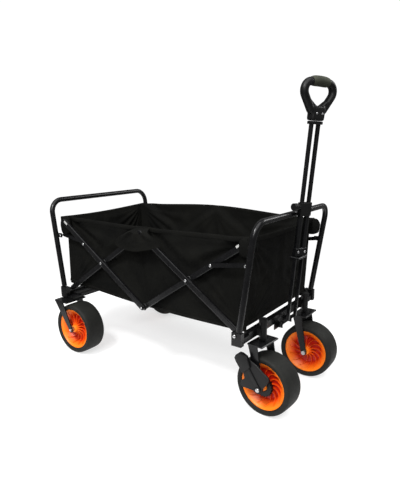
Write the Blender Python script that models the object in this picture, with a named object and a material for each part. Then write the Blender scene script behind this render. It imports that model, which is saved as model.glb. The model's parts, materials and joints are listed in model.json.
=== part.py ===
"""Folding camp wagon: scissor-folding tube frame, fabric tub, four wheels and a telescoping handle.

Everything is modelled in the frame's own axes: +X to the front (handle end), +Y to the left,
+Z up, with Z = 0 under the rear wheels. The front casters reach lower than the rear forks, so the
whole wagon is then pitched nose-up by PITCH until all four wheels stand on the same floor.
"""
import math

import bmesh
import bpy
from mathutils import Matrix, Vector

# ---------------------------------------------------------------- driving dimensions (metres)
CLEAR = 0.0003            # gap that touching pieces keep
RUN = 0.0002              # radial clearance of a pin in its hole

# scissor linkage, side view
BAR_HALF = 0.2330         # pivot to pivot, half of a long bar
OPEN_ANGLE = math.radians(33.8)
PIVOT_X = 2 * BAR_HALF * math.cos(OPEN_ANGLE)   # lower pivots, each side of the centre
PIVOT_Z = 0.2329
CROSS_X = PIVOT_X / 2
CROSS_Z = PIVOT_Z + BAR_HALF * math.sin(OPEN_ANGLE)
TOP_Z = PIVOT_Z + 2 * BAR_HALF * math.sin(OPEN_ANGLE)
BAR_HEIGHT = 0.0190
BAR_THICK = 0.0116
BAR_BEVEL = 0.0026

# layers across the wagon, as distances from the centre plane
HOOP_Y = 0.2558
HOOP_R = 0.0095
OUTER_Y = 0.2385          # outer long bars, just inside the hoops
INNER_Y = 0.2235          # inner long bars
REAR_LINK_Y = 0.2295      # short links, rear ones between the two layers of long bars
FRONT_LINK_Y = 0.2350     # and front ones over the inner layer
LINK_THICK = 0.0036
TUB_FRONT_Y = 0.2135      # outside of the front half of a side
TUB_REAR_Y = 0.2095       # outside of the rear half, which slides inside the front half
WALL_HALF_WIDTH = 0.2040
CLOTH = 0.0028

# hoops
HOOP_FOOT_X = 0.3975
HOOP_FOOT_Z = 0.2450
HOOP_TOP_X = 0.4436
HOOP_TOP_Z = {"rear": 0.5735, "front": 0.5645}
HOOP_BEND = 0.0480

# links between hoop and long bar
LINK_PIN = Vector((0.4110, 0.0, 0.4415))
LINK_ON_BAR = 0.1078      # from the crossing towards the bar's upper end
HOOP_BRACKET_X = 0.4262   # hoop leg's centre line beside the link pin

# wheels
WHEEL_R = 0.0946
WHEEL_HALF = 0.0386
RIM_R = 0.0752
AXLE_R = 0.0045
REAR_WHEEL = Vector((-0.3205, 0.2527, 0.0946))
CASTER = Vector((0.4198, 0.1524, 0.0))
CASTER_TRAIL = 0.0226
CASTER_TURN = {"right": math.radians(-4.0), "left": math.radians(1.0)}
FRONT_DROP = 0.0398       # how much lower the front wheels stand than the rear ones
LEG_INSIDE = 0.0425
LEG_THICK = 0.0040
LEG_TIP_R = 0.0102
BRAKE_RING_R = 0.0325
LEVER_OUTLINE = (         # brake lever's outline, forward and up from the axle
    (0.0140, -0.0060), (0.0050, -0.0135), (-0.0100, -0.0125), (-0.0560, -0.0090),
    (-0.0640, -0.0020), (-0.0630, 0.0090), (-0.0500, 0.0240), (-0.0560, 0.0420),
    (-0.0790, 0.0720), (-0.0830, 0.0840), (-0.0660, 0.1030), (-0.0560, 0.1035),
    (-0.0380, 0.0960), (-0.0060, 0.0740), (0.0350, 0.0500), (0.0370, 0.0400))

# crossbars
BAR_X = 0.3970
FRONT_BAR_Z = (0.2055, 0.2305)
BAR_SHOULDER_Z = 0.2222   # lower at its ends, where the long bars pivot above it
REAR_BAR_Z = (0.2000, 0.2220)

# fabric tub
WALL_FOOT_X = {"rear": 0.3930, "front": 0.3830}
WALL_RIM_X = {"rear": 0.4165, "front": 0.4040}
TUB_FLOOR_Z = 0.2440
TUB_RIM_Z = 0.5070
FLOOR_HINGE_X = {"rear": 0.3850, "front": 0.3760}
FLOOR_HINGE_Z = 0.2390
FLOOR_TIP_GAP = 0.0050    # from the floor's tip to the centre plane
FLOOR_HALF_WIDTH = 0.2000

# handle
HANDLE_FOOT = Vector((0.4180, 0.0, 0.2005))
HANDLE_LEAN = math.radians(4.8)
HANDLE_TURN = math.radians(-20.0)   # the rods are turned a little about their own line
ROD_FORWARD = 0.0205      # the rods' line, in front of the foot pivot
ROD_R = 0.0069
OUTER_TUBE_R = 0.0085
ROD_SPACING = 0.0286
YOKE_TOP = 0.2320         # along the handle, from its foot
CLAMP_FROM = 0.3600
CLAMP_TO = 0.4020
COLLAR_FROM = 0.6320
COLLAR_TO = 0.6410
GRIP_BOTTOM = 0.6413
GRIP_HEIGHT = 0.1210
GRIP_WIDTH = 0.1460
GRIP_TUBE = 0.0120

# pitch of the whole frame, and the lift that puts the wheels on the floor
WHEELBASE = CASTER.x + CASTER_TRAIL - REAR_WHEEL.x
PITCH = math.atan2(FRONT_DROP, WHEELBASE)
FRONT_WHEEL_Z = WHEEL_R - FRONT_DROP
LIFT = WHEEL_R - (REAR_WHEEL.x * math.sin(PITCH) + REAR_WHEEL.z * math.cos(PITCH))

SIDES = (("right", -1), ("left", 1))
ENDS = (("rear", -1), ("front", 1))

COLOURS = {
    "steel": ((0.025, 0.026, 0.027), 0.38, 0.75),
    "bright": ((0.62, 0.62, 0.63), 0.28, 1.0),
    "fabric": ((0.018, 0.019, 0.018), 0.90, 0.0),
    "plastic": ((0.020, 0.020, 0.021), 0.48, 0.0),
    "tyre": ((0.030, 0.030, 0.029), 0.82, 0.0),
    "rim": ((0.90, 0.21, 0.015), 0.35, 0.0),
    "soft": ((0.075, 0.080, 0.062), 0.80, 0.0),
}


def material(name):
    """The named Principled material, made once."""
    found = bpy.data.materials.get(name)
    if found:
        return found
    colour, rough, metal = COLOURS[name]
    made = bpy.data.materials.new(name)
    made.use_nodes = True
    shader = made.node_tree.nodes["Principled BSDF"]
    shader.inputs["Base Color"].default_value = (*colour, 1.0)
    shader.inputs["Roughness"].default_value = rough
    shader.inputs["Metallic"].default_value = metal
    return made


def clear_scene():
    """Remove every object of the start-up scene."""
    for thing in list(bpy.data.objects):
        bpy.data.objects.remove(thing, do_unlink=True)


# ---------------------------------------------------------------- shapes, each a closed bmesh
def box(low, high):
    """Upright box between two corners."""
    bm = bmesh.new()
    bmesh.ops.create_cube(bm, size=1.0)
    low, high = Vector(low), Vector(high)
    for vert in bm.verts:
        vert.co = Vector((low[i] + (vert.co[i] + 0.5) * (high[i] - low[i]) for i in range(3)))
    return bm


def rounded_box(low, high, width, segments=2):
    """Box with all its edges rounded over."""
    bm = box(low, high)
    bmesh.ops.bevel(bm, geom=bm.edges[:], offset=width, segments=segments, affect="EDGES", profile=0.5)
    return bm


def rod(start, end, radius, sides=14):
    """Round bar between two points."""
    start, end = Vector(start), Vector(end)
    bm = bmesh.new()
    bmesh.ops.create_cone(bm, cap_ends=True, segments=sides, radius1=radius, radius2=radius,
                          depth=(end - start).length)
    turn = Vector((0, 0, 1)).rotation_difference(end - start).to_matrix().to_4x4()
    bm.transform(Matrix.Translation((start + end) / 2) @ turn)
    return bm


def across(x, z, y_from, y_to, radius, sides=14):
    """Round pin that lies across the wagon."""
    return rod((x, y_from, z), (x, y_to, z), radius, sides)


def slab(outline, y_from, y_to, bevel=0.0, segments=2):
    """Plate with a side-view outline, a list of (x, z), between two distances across the wagon."""
    bm = bmesh.new()
    area = sum(a[0] * b[1] - b[0] * a[1] for a, b in zip(outline, outline[1:] + outline[:1]))
    if area < 0:
        outline = outline[::-1]
    low, high = sorted((y_from, y_to))
    near = [bm.verts.new((x, low, z)) for x, z in outline]
    far = [bm.verts.new((x, high, z)) for x, z in outline]
    bm.faces.new(near)
    bm.faces.new(far[::-1])
    for i in range(len(outline)):
        j = (i + 1) % len(outline)
        bm.faces.new((near[j], near[i], far[i], far[j]))
    if bevel:
        bm.edges.ensure_lookup_table()
        rims = [e for e in bm.edges if abs(e.verts[0].co.y - e.verts[1].co.y) < 1e-7]
        bmesh.ops.bevel(bm, geom=rims, offset=bevel, segments=segments, affect="EDGES", profile=0.5)
    return bm


def stadium(start, end, radius, steps=7):
    """Outline round two side-view points, with a half circle at each end."""
    (x0, z0), (x1, z1) = start, end
    heading = math.atan2(z1 - z0, x1 - x0)
    outline = []
    for (x, z), first in ((end, heading - math.pi / 2), (start, heading + math.pi / 2)):
        for i in range(steps + 1):
            angle = first + math.pi * i / steps
            outline.append((x + radius * math.cos(angle), z + radius * math.sin(angle)))
    return outline


def arc(centre, radius, start, end, steps):
    """Points of a circular arc, as (a, b) pairs, with both ends."""
    return [(centre[0] + radius * math.cos(start + (end - start) * i / steps),
             centre[1] + radius * math.sin(start + (end - start) * i / steps)) for i in range(steps + 1)]


def sweep(path, radii, sides=12, closed=False):
    """Tube of elliptical section along a path. radii gives (across the bend, out of plane)."""
    bm = bmesh.new()
    path = [Vector(p) for p in path]
    count = len(path)
    centre = sum(path, Vector()) / count
    normal = Vector()
    for a, b in zip(path, path[1:] + path[:1]):
        normal += (a - centre).cross(b - centre)
    normal = normal.normalized() if normal.length > 1e-9 else Vector((0, 1, 0))
    rings = []
    for i, point in enumerate(path):
        before = path[i - 1] if (i or closed) else point
        after = path[(i + 1) % count] if (i < count - 1 or closed) else point
        into = (point - before).normalized() if (point - before).length else (after - point).normalized()
        out = (after - point).normalized() if (after - point).length else into
        tangent = (into + out).normalized()
        stretch = 1.0 / max(0.3, tangent.dot(into))
        aside = tangent.cross(normal).normalized()
        wide, deep = radii[i] if isinstance(radii, list) else radii
        ring = []
        for k in range(sides):
            angle = 2 * math.pi * (k + 0.5) / sides
            offset = aside * math.cos(angle) * wide * stretch + normal * math.sin(angle) * deep
            ring.append(bm.verts.new(point + offset))
        rings.append(ring)
    pairs = list(zip(rings, rings[1:]))
    if closed:
        pairs.append((rings[-1], rings[0]))
    else:
        bm.faces.new(rings[0])
        bm.faces.new(rings[-1][::-1])
    for ring, other in pairs:
        for k in range(sides):
            j = (k + 1) % sides
            bm.faces.new((ring[j], ring[k], other[k], other[j]))
    bmesh.ops.recalc_face_normals(bm, faces=bm.faces[:])
    return bm


def turned(profile, steps):
    """Ring turned about the Y axis from a closed profile of (radius, y)."""
    bm = bmesh.new()
    rings = []
    for i in range(steps):
        angle = 2 * math.pi * i / steps
        rings.append([bm.verts.new((r * math.cos(angle), y, r * math.sin(angle))) for r, y in profile])
    for i, ring in enumerate(rings):
        other = rings[(i + 1) % steps]
        for k in range(len(profile)):
            j = (k + 1) % len(profile)
            bm.faces.new((ring[k], ring[j], other[j], other[k]))
    bmesh.ops.recalc_face_normals(bm, faces=bm.faces[:])
    return bm


def moved(bm, matrix):
    """The same shape, placed by a matrix."""
    bm.transform(matrix)
    return bm


# ---------------------------------------------------------------- objects
ROOT = None


def plain_object(name, bm):
    """Object made from a shape, in the frame's axes."""
    if bm.calc_volume(signed=True) < 0:
        bmesh.ops.reverse_faces(bm, faces=bm.faces[:])
    mesh = bpy.data.meshes.new(name)
    bm.to_mesh(mesh)
    bm.free()
    made = bpy.data.objects.new(name, mesh)
    bpy.context.collection.objects.link(made)
    return made


def node(name, bm, slot, origin=(0, 0, 0), adds=(), cuts=()):
    """One sub-part: a shape, pieces that are one with it, and the holes cut in it.

    Its origin is put on origin, which for a moving piece is its joint's axis.
    """
    made = plain_object(name, bm)
    tools = []
    for operation, shapes in (("UNION", adds), ("DIFFERENCE", cuts)):
        for number, shape in enumerate(shapes):
            tool = plain_object(f"{name}_{operation.lower()}_{number}", shape)
            change = made.modifiers.new(operation.title(), "BOOLEAN")
            change.operation = operation
            change.solver = "EXACT"
            change.object = tool
            tools.append(tool)
    if tools:
        seen = made.evaluated_get(bpy.context.evaluated_depsgraph_get())
        mesh = bpy.data.meshes.new_from_object(seen)
        made.modifiers.clear()
        made.data = mesh
        mesh.name = name
        for tool in tools:
            bpy.data.objects.remove(tool, do_unlink=True)
    origin = Vector(origin)
    made.data.transform(Matrix.Translation(-origin))
    made.data.shade_smooth()
    made.data.set_sharp_from_angle(angle=math.radians(32))
    made.data.materials.clear()
    made.data.materials.append(material(slot))
    made.parent = ROOT
    made.location = origin
    return made


def long_bars():
    """Eight long bars. Pins are one with the outer bar, and turn in holes of the inner one."""
    half = BAR_HEIGHT / 2
    for side, s in SIDES:
        outer = (s * (OUTER_Y - BAR_THICK / 2), s * (OUTER_Y + BAR_THICK / 2))
        inner = (s * (INNER_Y - BAR_THICK / 2), s * (INNER_Y + BAR_THICK / 2))
        pin_span = (s * (INNER_Y - BAR_THICK / 2 - 0.0020), s * OUTER_Y)
        head_in = (s * (INNER_Y - BAR_THICK / 2 - 0.0024), s * (INNER_Y - BAR_THICK / 2 - 0.0005))
        head_out = (s * OUTER_Y, s * (OUTER_Y + BAR_THICK / 2 + 0.0018))

        def pin(x, z):
            """Rivet through both layers, with a head on each end."""
            return [across(x, z, *pin_span, 0.0040), across(x, z, *head_in, 0.0062),
                    across(x, z, *head_out, 0.0062)]

        def hole(x, z, span, radius=0.0040):
            """Hole for a rivet."""
            return across(x, z, span[0] - s * 0.002, span[1] + s * 0.002, radius + RUN)

        for end, e in ENDS:
            low, high = (e * PIVOT_X, PIVOT_Z), (0.0, TOP_Z)
            down, up = (0.0, PIVOT_Z), (e * PIVOT_X, TOP_Z)
            cross = (e * CROSS_X, CROSS_Z)
            rear = end == "rear"
            hoop_layer, span_layer = (inner, outer) if rear else (outer, inner)
            hoop_bar = slab(stadium(low, high, half), *hoop_layer, bevel=BAR_BEVEL)
            span_bar = slab(stadium(down, up, half), *span_layer, bevel=BAR_BEVEL)
            grow = (e * CROSS_X + e * LINK_ON_BAR * math.cos(OPEN_ANGLE),
                    CROSS_Z + LINK_ON_BAR * math.sin(OPEN_ANGLE))
            if rear:
                node(f"hoop_bar_{end}_{side}", hoop_bar, "steel", (low[0], 0, low[1]),
                     cuts=[hole(*low, inner), hole(*cross, inner), hole(*high, inner)])
                node(f"span_bar_{end}_{side}", span_bar, "steel", (cross[0], 0, cross[1]),
                     adds=pin(*cross) + pin(*down) + [across(*grow, *head_out, 0.0062)])
            else:
                node(f"hoop_bar_{end}_{side}", hoop_bar, "steel", (cross[0], 0, cross[1]),
                     adds=pin(*cross) + pin(*high), cuts=[hole(*low, outer)])
                node(f"span_bar_{end}_{side}", span_bar, "steel", (down[0], 0, down[1]),
                     cuts=[hole(*cross, inner), hole(*down, inner)])


def spacers():
    """Plastic sleeves that hold the inner and outer long bars apart at each rivet."""
    for side, s in SIDES:
        near = s * (INNER_Y + BAR_THICK / 2 + 0.0005)
        far = s * (OUTER_Y - BAR_THICK / 2 - 0.0005)
        low, high = sorted((near, far))
        profile = [(0.0040 + RUN, low), (0.0115, low), (0.0125, low + 0.001), (0.0125, high - 0.001),
                   (0.0115, high), (0.0040 + RUN, high)]
        crossings = (("rear", -CROSS_X, CROSS_Z), ("front", CROSS_X, CROSS_Z), ("centre", 0.0, PIVOT_Z))
        for name, x, z in crossings:
            sleeve = moved(turned(profile, 16), Matrix.Translation((x, 0, z)))
            node(f"spacer_{name}_{side}", sleeve, "plastic", (x, 0, z))


def links():
    """Four short links from the hoops to the long bars."""
    for end, e in ENDS:
        pin = (e * LINK_PIN.x, LINK_PIN.z)
        on_bar = (e * CROSS_X + e * LINK_ON_BAR * math.cos(OPEN_ANGLE),
                  CROSS_Z + LINK_ON_BAR * math.sin(OPEN_ANGLE))
        layer = REAR_LINK_Y if end == "rear" else FRONT_LINK_Y
        for side, s in SIDES:
            low, high = s * (layer - LINK_THICK / 2), s * (layer + LINK_THICK / 2)
            plate = slab(stadium(pin, on_bar, 0.0065), low, high)
            if end == "rear":
                stub = across(*on_bar, high - s * 0.001, s * (OUTER_Y - BAR_THICK / 2 - 0.0004), 0.0045)
            else:
                stub = across(*on_bar, low + s * 0.001, high + s * 0.0018, 0.0058)
            node(f"link_{end}_{side}", plate, "steel", (pin[0], 0, pin[1]), adds=[stub],
                 cuts=[across(*pin, low - s * 0.002, high + s * 0.002, 0.0030 + RUN)])


def hoop_path(end, e):
    """Centre line of a hoop, from its right foot over the top to its left foot."""
    foot = Vector((e * HOOP_FOOT_X, HOOP_Y, HOOP_FOOT_Z))
    top = Vector((e * HOOP_TOP_X, HOOP_Y, HOOP_TOP_Z[end]))
    along = (top - foot).normalized()
    height = (top - foot).length
    points = [(-HOOP_Y, 0.0)]
    points += [(-HOOP_Y + HOOP_BEND - c, height - HOOP_BEND + d)
               for c, d in arc((0, 0), HOOP_BEND, 0, math.pi / 2, 7)]
    points += [(HOOP_Y - HOOP_BEND + c, height - HOOP_BEND + d)
               for c, d in arc((0, 0), HOOP_BEND, math.pi / 2, 0, 7)]
    points += [(HOOP_Y, 0.0)]
    return [Vector((foot.x, y, foot.z)) + along * up for y, up in points]


def hoops():
    """Bent tube hoops at each end, with the bracket and pin for each link."""
    for end, e in ENDS:
        adds = []
        for _, s in SIDES:
            x, z = LINK_PIN.x, LINK_PIN.z
            span = sorted((e * (x - 0.0075), e * HOOP_BRACKET_X))
            tab = sorted((s * 0.2420, s * 0.2470))
            layer = REAR_LINK_Y if end == "rear" else FRONT_LINK_Y
            adds.append(box((span[0], tab[0], z - 0.0080), (span[1], tab[1], z + 0.0080)))
            adds.append(box((min(e * 0.4200, e * HOOP_BRACKET_X), min(s * 0.2420, s * HOOP_Y), z - 0.0080),
                            (max(e * 0.4200, e * HOOP_BRACKET_X), max(s * 0.2420, s * HOOP_Y), z + 0.0080)))
            adds.append(across(e * x, z, s * (layer - 0.0035), s * 0.2450, 0.0030))
            adds.append(across(e * x, z, s * (layer - 0.0042), s * (layer - 0.0022), 0.0055))
            adds.append(across(e * x, z, s * 0.2460, s * 0.2490, 0.0058))
        node(f"{end}_hoop", sweep(hoop_path(end, e), (HOOP_R, HOOP_R), sides=12), "steel", adds=adds)


def corner_block(e, s, top):
    """Block at the end of a crossbar that takes the hoop's foot and the long bar's pivot."""
    span = sorted((e * (PIVOT_X - 0.0110), e * (BAR_X + 0.0120)))
    depth = sorted((s * 0.2474, s * 0.2646))
    return box((span[0], depth[0], 0.2020), (span[1], depth[1], top))


def crossbars():
    """Cross members under the two hoops."""
    block_top = HOOP_FOOT_Z - 0.0020
    rear_adds = []
    for _, s in SIDES:
        rear_adds.append(corner_block(-1, s, block_top))
        rear_adds.append(across(-PIVOT_X, PIVOT_Z, s * 0.2500, s * 0.2155, 0.0040))
        rear_adds.append(across(-PIVOT_X, PIVOT_Z, s * 0.2168, s * 0.2148, 0.0062))
        foot = sorted((s * 0.2150, s * 0.2620))
        rear_adds.append(box((-0.4040, foot[0], 0.2001), (-0.3420, foot[1], 0.2080)))
    tie = box((-0.3620, -0.2200, 0.2001), (-0.3460, 0.2200, 0.2120))
    rear_bar = box((-BAR_X - 0.0090, -0.2560, REAR_BAR_Z[0]), (-BAR_X + 0.0090, 0.2560, REAR_BAR_Z[1]))
    node("rear_crossbar", rear_bar, "steel", adds=rear_adds + [tie])
    front_adds = []
    for _, s in SIDES:
        front_adds.append(corner_block(1, s, block_top))
        front_adds.append(across(PIVOT_X, PIVOT_Z, s * 0.2500, s * 0.2305, 0.0040))
        front_adds.append(across(PIVOT_X, PIVOT_Z, s * 0.2305, s * 0.2321, 0.0062))
        front_adds.append(across(PIVOT_X, PIVOT_Z, s * 0.2640, s * 0.2665, 0.0066))
    low, high = FRONT_BAR_Z
    front_adds.append(box((BAR_X - 0.0090, -0.2130, low), (BAR_X + 0.0090, 0.2130, high)))
    shoulder = box((BAR_X - 0.0090, -0.2560, FRONT_BAR_Z[0]), (BAR_X + 0.0090, 0.2560, BAR_SHOULDER_Z))
    node("front_crossbar", shoulder, "steel", adds=front_adds)


def wheel(name, centre, place):
    """Rim and tyre on one axle."""
    half = WHEEL_HALF
    rim = [(AXLE_R + RUN, -0.0360), (0.0135, -0.0360), (0.0158, -0.0160), (0.0200, -0.0075),
           (0.0500, -0.0075), (0.0620, -0.0190), (0.0725, -0.0330), (RIM_R, -0.0330)]
    rim += [(r, -y) for r, y in rim[::-1]]
    bead = RIM_R + CLEAR
    tyre = [(bead, -0.0330), (0.0785, -0.0374), (0.0870, -half), (0.0922, -0.0350), (WHEEL_R, -0.0240)]
    tyre += [(r, -y) for r, y in tyre[::-1]]
    spot = place @ Matrix.Translation(centre)
    node(f"{name}_rim", moved(turned(rim, 36), spot), "rim", place @ centre)
    node(f"{name}_tyre", moved(turned(tyre, 36), spot), "tyre", place @ centre)


def fork(name, plate_middle, plate_size, axle, place, adds=()):
    """Inverted U: a top plate and two tapered legs down to the axle."""
    px, py, pz = plate_middle
    half_x, thick = plate_size
    wide = LEG_INSIDE + LEG_THICK
    plate = rounded_box((px - half_x, py - wide, pz), (px + half_x, py + wide, pz + thick), 0.0012, 1)
    legs = []
    for s in (-1, 1):
        tip = arc((axle.x, axle.z), LEG_TIP_R, math.radians(200), math.radians(340), 6)
        outline = tip + [(px + half_x * 0.30, pz + thick / 2), (px - half_x + 0.0030, pz + thick / 2)]
        legs.append(slab(outline, py + s * LEG_INSIDE, py + s * wide))
    hole = across(axle.x, axle.z, py - wide - 0.002, py + wide + 0.002, AXLE_R + RUN)
    return node(name, moved(plate, place), "steel", place @ Vector((px, py, 0.0)),
                adds=[moved(piece, place) for piece in legs + list(adds)], cuts=[moved(hole, place)])


def axle(name, centre, place):
    """Axle bolt with a head and a nut outside the fork legs."""
    wide = LEG_INSIDE + LEG_THICK
    x, y, z = centre
    bolt = across(x, z, y - wide - 0.0030, y + wide + 0.0030, AXLE_R)
    ends = [across(x, z, y - wide - CLEAR, y - wide - 0.0055, 0.0078, 6),
            across(x, z, y + wide + CLEAR, y + wide + 0.0055, 0.0078, 6)]
    node(name, moved(bolt, place), "bright", place @ centre, adds=[moved(end, place) for end in ends])


def rear_wheels():
    """Fixed forks and wheels at the rear."""
    straight = Matrix.Identity(4)
    for side, s in SIDES:
        middle = Vector((REAR_WHEEL.x, s * REAR_WHEEL.y, REAR_WHEEL.z))
        fork(f"rear_fork_{side}", (-0.3720, middle.y, 0.1940), (0.0360, 0.0058), middle, straight)
        axle(f"rear_axle_{side}", middle, straight)
        wheel(f"rear_{side}", middle, straight)


def casters():
    """Swivel housings, forks, wheels and brakes at the front."""
    for side, s in SIDES:
        x, y = CASTER.x, s * CASTER.y
        barrel = rod((x, y, 0.1925), (x, y, 0.2560), 0.0115, 18)
        cap = rod((x, y, 0.2480), (x, y, 0.2590), 0.0138, 18)
        web = box((BAR_X + 0.0093, y - 0.0160, 0.2075), (x, y + 0.0160, 0.2285))
        bore = rod((x, y, 0.1900), (x, y, 0.2500), 0.0050 + RUN, 16)
        node(f"caster_housing_{side}", barrel, "plastic", adds=[cap, web], cuts=[bore])
        place = (Matrix.Translation((x, y, 0)) @ Matrix.Rotation(CASTER_TURN[side], 4, "Z")
                 @ Matrix.Translation((-x, -y, 0)))
        middle = Vector((x + CASTER_TRAIL, y, FRONT_WHEEL_Z))
        stem = rod((x, y, 0.1860), (x, y, 0.2480), 0.0050, 16)
        fork(f"caster_fork_{side}", (x, y, 0.1830), (0.0270, 0.0056), middle, place, adds=[stem])
        axle(f"caster_axle_{side}", middle, place)
        wheel(f"front_{side}", middle, place)
        brake(side, s, middle, place)


def brake(side, s, middle, place):
    """Brake lever outside the fork leg, and the ring on the hub that it locks."""
    wide = LEG_INSIDE + LEG_THICK
    near = middle.y + s * (wide + 0.0062)
    far = middle.y + s * (wide + 0.0150)
    x, z = middle.x, middle.z
    outline = [(x + dx, z + dz) for dx, dz in LEVER_OUTLINE]
    lever = slab(outline, near, far, bevel=0.0016, segments=1)
    opening = across(x, z, near - s * 0.001, far + s * 0.001, 0.0090)
    node(f"brake_lever_{side}", moved(lever, place), "plastic", place @ middle, cuts=[moved(opening, place)])
    ring_y = sorted((middle.y + s * 0.0230, middle.y + s * 0.0320))
    ring = [(0.0158, ring_y[0]), (BRAKE_RING_R, ring_y[0]), (BRAKE_RING_R, ring_y[1]), (0.0158, ring_y[1])]
    shape = moved(turned(ring, 24), place @ Matrix.Translation((x, 0, z)))
    node(f"brake_ring_{side}", shape, "plastic", place @ middle)


def tub():
    """Fabric end walls, the two halves of each fabric side, and the floor boards that fold up."""
    for end, e in ENDS:
        foot, rim = WALL_FOOT_X[end], WALL_RIM_X[end]
        wall = [(e * foot, TUB_FLOOR_Z), (e * rim, TUB_RIM_Z), (e * (rim - CLOTH), TUB_RIM_Z),
                (e * (foot - CLOTH), TUB_FLOOR_Z)]
        node(f"wall_{end}", slab(wall, -WALL_HALF_WIDTH, WALL_HALF_WIDTH), "fabric")
        side = [(e * foot, TUB_FLOOR_Z), (e * rim, TUB_RIM_Z), (0.0, TUB_RIM_Z), (0.0, TUB_FLOOR_Z)]
        outside = TUB_REAR_Y if end == "rear" else TUB_FRONT_Y
        for name, s in SIDES:
            node(f"side_{end}_{name}", slab(side, s * outside, s * (outside - CLOTH)), "fabric")
        hinge = (e * FLOOR_HINGE_X[end], 0, FLOOR_HINGE_Z)
        span = sorted((e * FLOOR_TIP_GAP, e * (FLOOR_HINGE_X[end] + 0.0030)))
        board = rounded_box((span[0], -FLOOR_HALF_WIDTH, FLOOR_HINGE_Z - 0.0025),
                            (span[1], FLOOR_HALF_WIDTH, FLOOR_HINGE_Z + 0.0025), 0.0010, 1)
        node(f"floor_board_{end}", board, "fabric", hinge)


def up_handle(turned_by=0.0, forward=0.0):
    """Frame at the handle's foot: local Z up the handle, local Y across it."""
    lean = Matrix.Rotation(HANDLE_LEAN, 4, "Y")
    return (Matrix.Translation(HANDLE_FOOT) @ lean @ Matrix.Translation((forward, 0, 0))
            @ Matrix.Rotation(turned_by, 4, "Z"))


def rod_pair(low, high, radius, sides=12):
    """Two parallel rods up the handle."""
    aside = ROD_SPACING / 2
    return [rod((0, s * aside, low), (0, s * aside, high), radius, sides) for s in (-1, 1)]


def handle_lower():
    """Bracket on the crossbar, and the two-legged yoke that tilts in it."""
    foot = HANDLE_FOOT
    ears = []
    for s in (-1, 1):
        ear = sorted((s * 0.0318, s * 0.0350))
        ears.append(box((BAR_X + 0.0095, ear[0], foot.z - 0.0100),
                        (foot.x + 0.0080, ear[1], foot.z + 0.0100)))
        ears.append(across(foot.x, foot.z, s * 0.0335, s * 0.0200, 0.0030))
        ears.append(across(foot.x, foot.z, s * 0.0340, s * 0.0368, 0.0055))
    back = box((BAR_X + 0.0093, -0.0560, 0.1870), (BAR_X + 0.0123, 0.0560, 0.2200))
    node("handle_bracket", back, "steel", adds=ears)

    frame = up_handle()
    plate = rounded_box((ROD_FORWARD - 0.0150, -0.0300, YOKE_TOP - 0.0070),
                        (ROD_FORWARD + 0.0150, 0.0300, YOKE_TOP), 0.0015, 1)
    legs = []
    leg_top = YOKE_TOP - 0.0030
    leg = [(-0.0060, 0.0), (0.0060, 0.0), (ROD_FORWARD + 0.0050, 0.0200), (ROD_FORWARD + 0.0050, leg_top),
           (ROD_FORWARD - 0.0050, leg_top), (ROD_FORWARD - 0.0050, 0.0240), (-0.0060, 0.0060)]
    for s in (-1, 1):
        legs.append(slab(leg, s * 0.0225, s * 0.0300))
        legs.append(across(0, 0, s * 0.0225, s * 0.0300, 0.0060))
    turn = Matrix.Translation((ROD_FORWARD, 0, 0)) @ Matrix.Rotation(HANDLE_TURN, 4, "Z")
    holes = [moved(hole, turn) for hole in rod_pair(YOKE_TOP - 0.0200, YOKE_TOP + 0.0100, ROD_R + 0.0008)]
    holes += [across(0, 0, s * 0.0180, s * 0.0315, 0.0030 + RUN) for s in (-1, 1)]
    node("handle_yoke", moved(plate, frame), "steel", foot, adds=[moved(leg, frame) for leg in legs],
         cuts=[moved(hole, frame) for hole in holes])


def handle_upper():
    """Outer tubes with their riveted foot, clamp and lock knob, then the sliding rods."""
    frame = up_handle(HANDLE_TURN, ROD_FORWARD)
    origin = (frame @ Matrix.Translation((0, 0, YOKE_TOP))).translation
    foot = rounded_box((-0.0085, -0.0236, YOKE_TOP + CLEAR), (0.0085, 0.0236, YOKE_TOP + 0.0270), 0.0020, 1)
    adds = rod_pair(YOKE_TOP + 0.0060, CLAMP_FROM - CLEAR, OUTER_TUBE_R)
    for s in (-1, 1):
        y = s * ROD_SPACING / 2
        adds.append(rod((0.0075, y, YOKE_TOP + 0.0150), (0.0100, y, YOKE_TOP + 0.0150), 0.0034))
    bores = rod_pair(YOKE_TOP - 0.0100, CLAMP_TO + 0.0100, ROD_R + RUN)
    node("handle_outer_tubes", moved(foot, frame), "steel", origin, adds=[moved(t, frame) for t in adds],
         cuts=[moved(bore, frame) for bore in bores])

    knob_z = CLAMP_TO - 0.0125
    side = -0.0185
    body = rounded_box((-0.0088, -0.0225, CLAMP_FROM), (0.0088, 0.0225, CLAMP_TO), 0.0020, 2)
    bores = rod_pair(CLAMP_FROM - 0.0100, CLAMP_TO + 0.0100, ROD_R + RUN)
    shroud = rod((0, side - 0.0030, knob_z), (0, side - 0.0120, knob_z), 0.0086, 20)
    pocket = rod((0, side - 0.0050, knob_z), (0, side - 0.0400, knob_z), 0.0064 + CLEAR, 16)
    node("handle_clamp", moved(body, frame), "plastic", origin, adds=[moved(shroud, frame)],
         cuts=[moved(cut, frame) for cut in bores + [pocket]])
    button = rod((0, side - 0.0090, knob_z), (0, side - 0.0300, knob_z), 0.0064, 16)
    head = rod((0, side - 0.0160, knob_z), (0, side - 0.0300, knob_z), 0.0112, 20)
    middle = (frame @ Matrix.Translation((0, 0, knob_z))).translation
    node("lock_button", moved(button, frame), "plastic", middle, adds=[moved(head, frame)])

    bottom = YOKE_TOP + 0.0400
    plate = rounded_box((-0.0120, -0.0220, COLLAR_FROM), (0.0120, 0.0220, COLLAR_TO), 0.0020, 1)
    rods = rod_pair(bottom, COLLAR_TO - 0.0020, ROD_R)
    node("handle_rods", moved(plate, frame), "steel", origin, adds=[moved(r, frame) for r in rods])


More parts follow.
